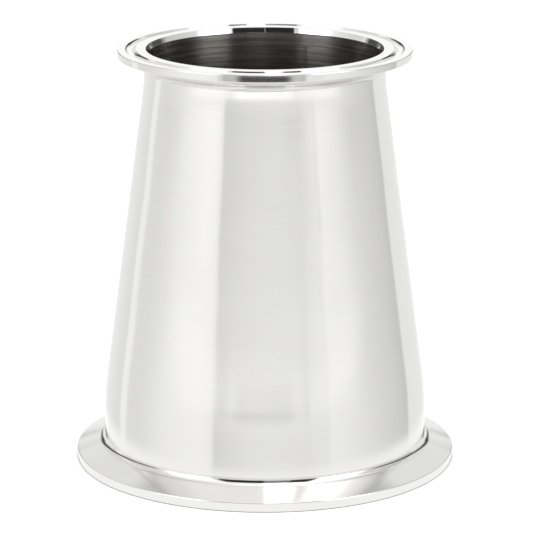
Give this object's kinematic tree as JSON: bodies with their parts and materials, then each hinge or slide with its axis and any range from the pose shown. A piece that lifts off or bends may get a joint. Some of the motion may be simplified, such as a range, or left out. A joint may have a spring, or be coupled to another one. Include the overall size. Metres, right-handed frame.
{
  "type": "concentric reducer",
  "caption": "Straight-axis conical pipe reducer in polished sheet steel, with a grooved hygienic clamp ferrule welded to each end.",
  "frame": {"origin": "on the flow axis, in the plane of the large end's sealing face, on which the reducer stands", "axes": "+Z along the flow axis from the large end to the small end; +X and +Y square to it, with the cone's seam weld 69 degrees from +X towards +Y"},
  "size_m": [0.1189, 0.1188, 0.13],
  "materials": {
    "cone_steel": "fine circumferential polish",
    "ferrule_steel": "turned and mirror polished",
    "weld_steel": "weld bead dressed flush and polished"
  },
  "bodies": {
    "root": {"large_end_ferrule": "ferrule_steel", "large_end_girth_weld": "weld_steel", "reducer_cone": "cone_steel", "cone_seam_weld": "weld_steel", "small_end_girth_weld": "weld_steel", "small_end_ferrule": "ferrule_steel"}
  },
  "joints": []
}
